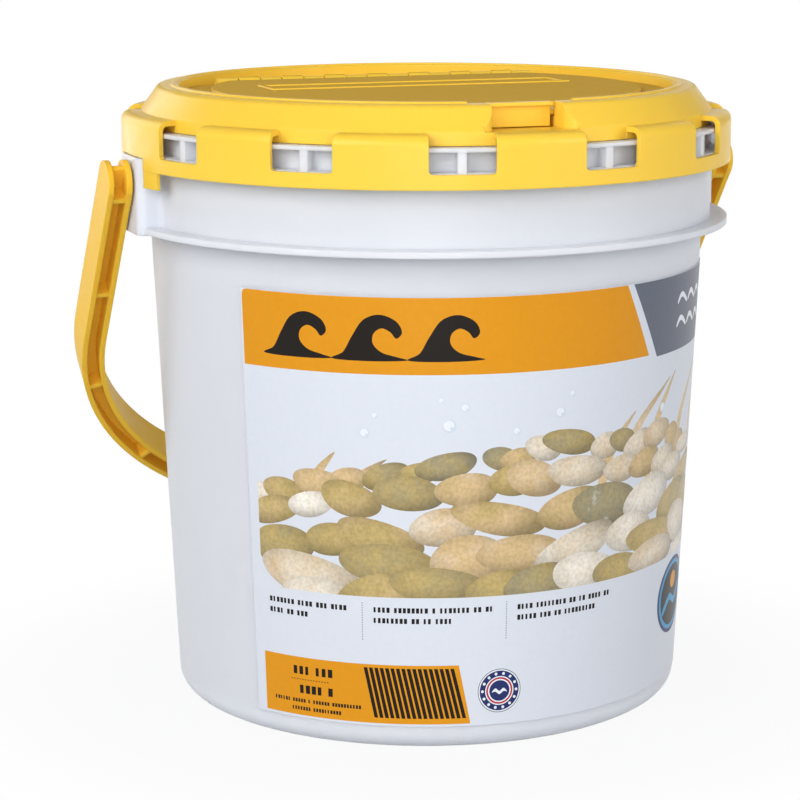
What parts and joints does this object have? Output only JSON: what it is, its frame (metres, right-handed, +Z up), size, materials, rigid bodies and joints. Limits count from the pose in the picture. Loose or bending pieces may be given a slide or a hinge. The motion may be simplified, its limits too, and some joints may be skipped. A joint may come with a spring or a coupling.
{
  "type": "bait bucket",
  "caption": "Round plastic bait pail with a press-on ring lid, a hinged hatch with a finger tab, an air hose hole and a swinging strap bail.",
  "frame": {"origin": "centre of the pail's underside, on the surface that it stands on", "axes": "+Z up; -Y towards the hatch's finger tab; X along the bail's pivot axis"},
  "size_m": [0.273, 0.2533, 0.2532],
  "materials": {
    "white_pail": "injection-moulded white HDPE, soft gloss",
    "label": "printed polypropylene film, satin",
    "yellow_lid": "injection-moulded yellow polypropylene, satin",
    "yellow_hatch": "injection-moulded yellow polypropylene, fine texture on top",
    "pin_steel": "drawn stainless wire",
    "yellow_bail": "injection-moulded yellow polypropylene, satin"
  },
  "bodies": {
    "pail": {"pail": "white_pail", "label_film": "label"},
    "lid": {"ring_lid": "yellow_lid", "hatch_hinge_pin": "pin_steel"},
    "hatch": {"hatch": "yellow_hatch"},
    "bail": {"bail_handle": "yellow_bail"}
  },
  "joints": [
    {"name": "lid_lift", "type": "slide", "parent": "pail", "child": "lid", "axis": [0, 0, 1], "range_m": [0, 0.06]},
    {"name": "hatch_hinge", "type": "hinge", "parent": "lid", "child": "hatch", "pos_m": [0, 0.062, 0.2494], "axis": [-1, 0, 0], "range_deg": [0, 110]},
    {"name": "bail_swing", "type": "hinge", "parent": "pail", "child": "bail", "pos_m": [0, 0, 0.212], "axis": [1, 0, 0], "range_deg": [0, 283]}
  ]
}
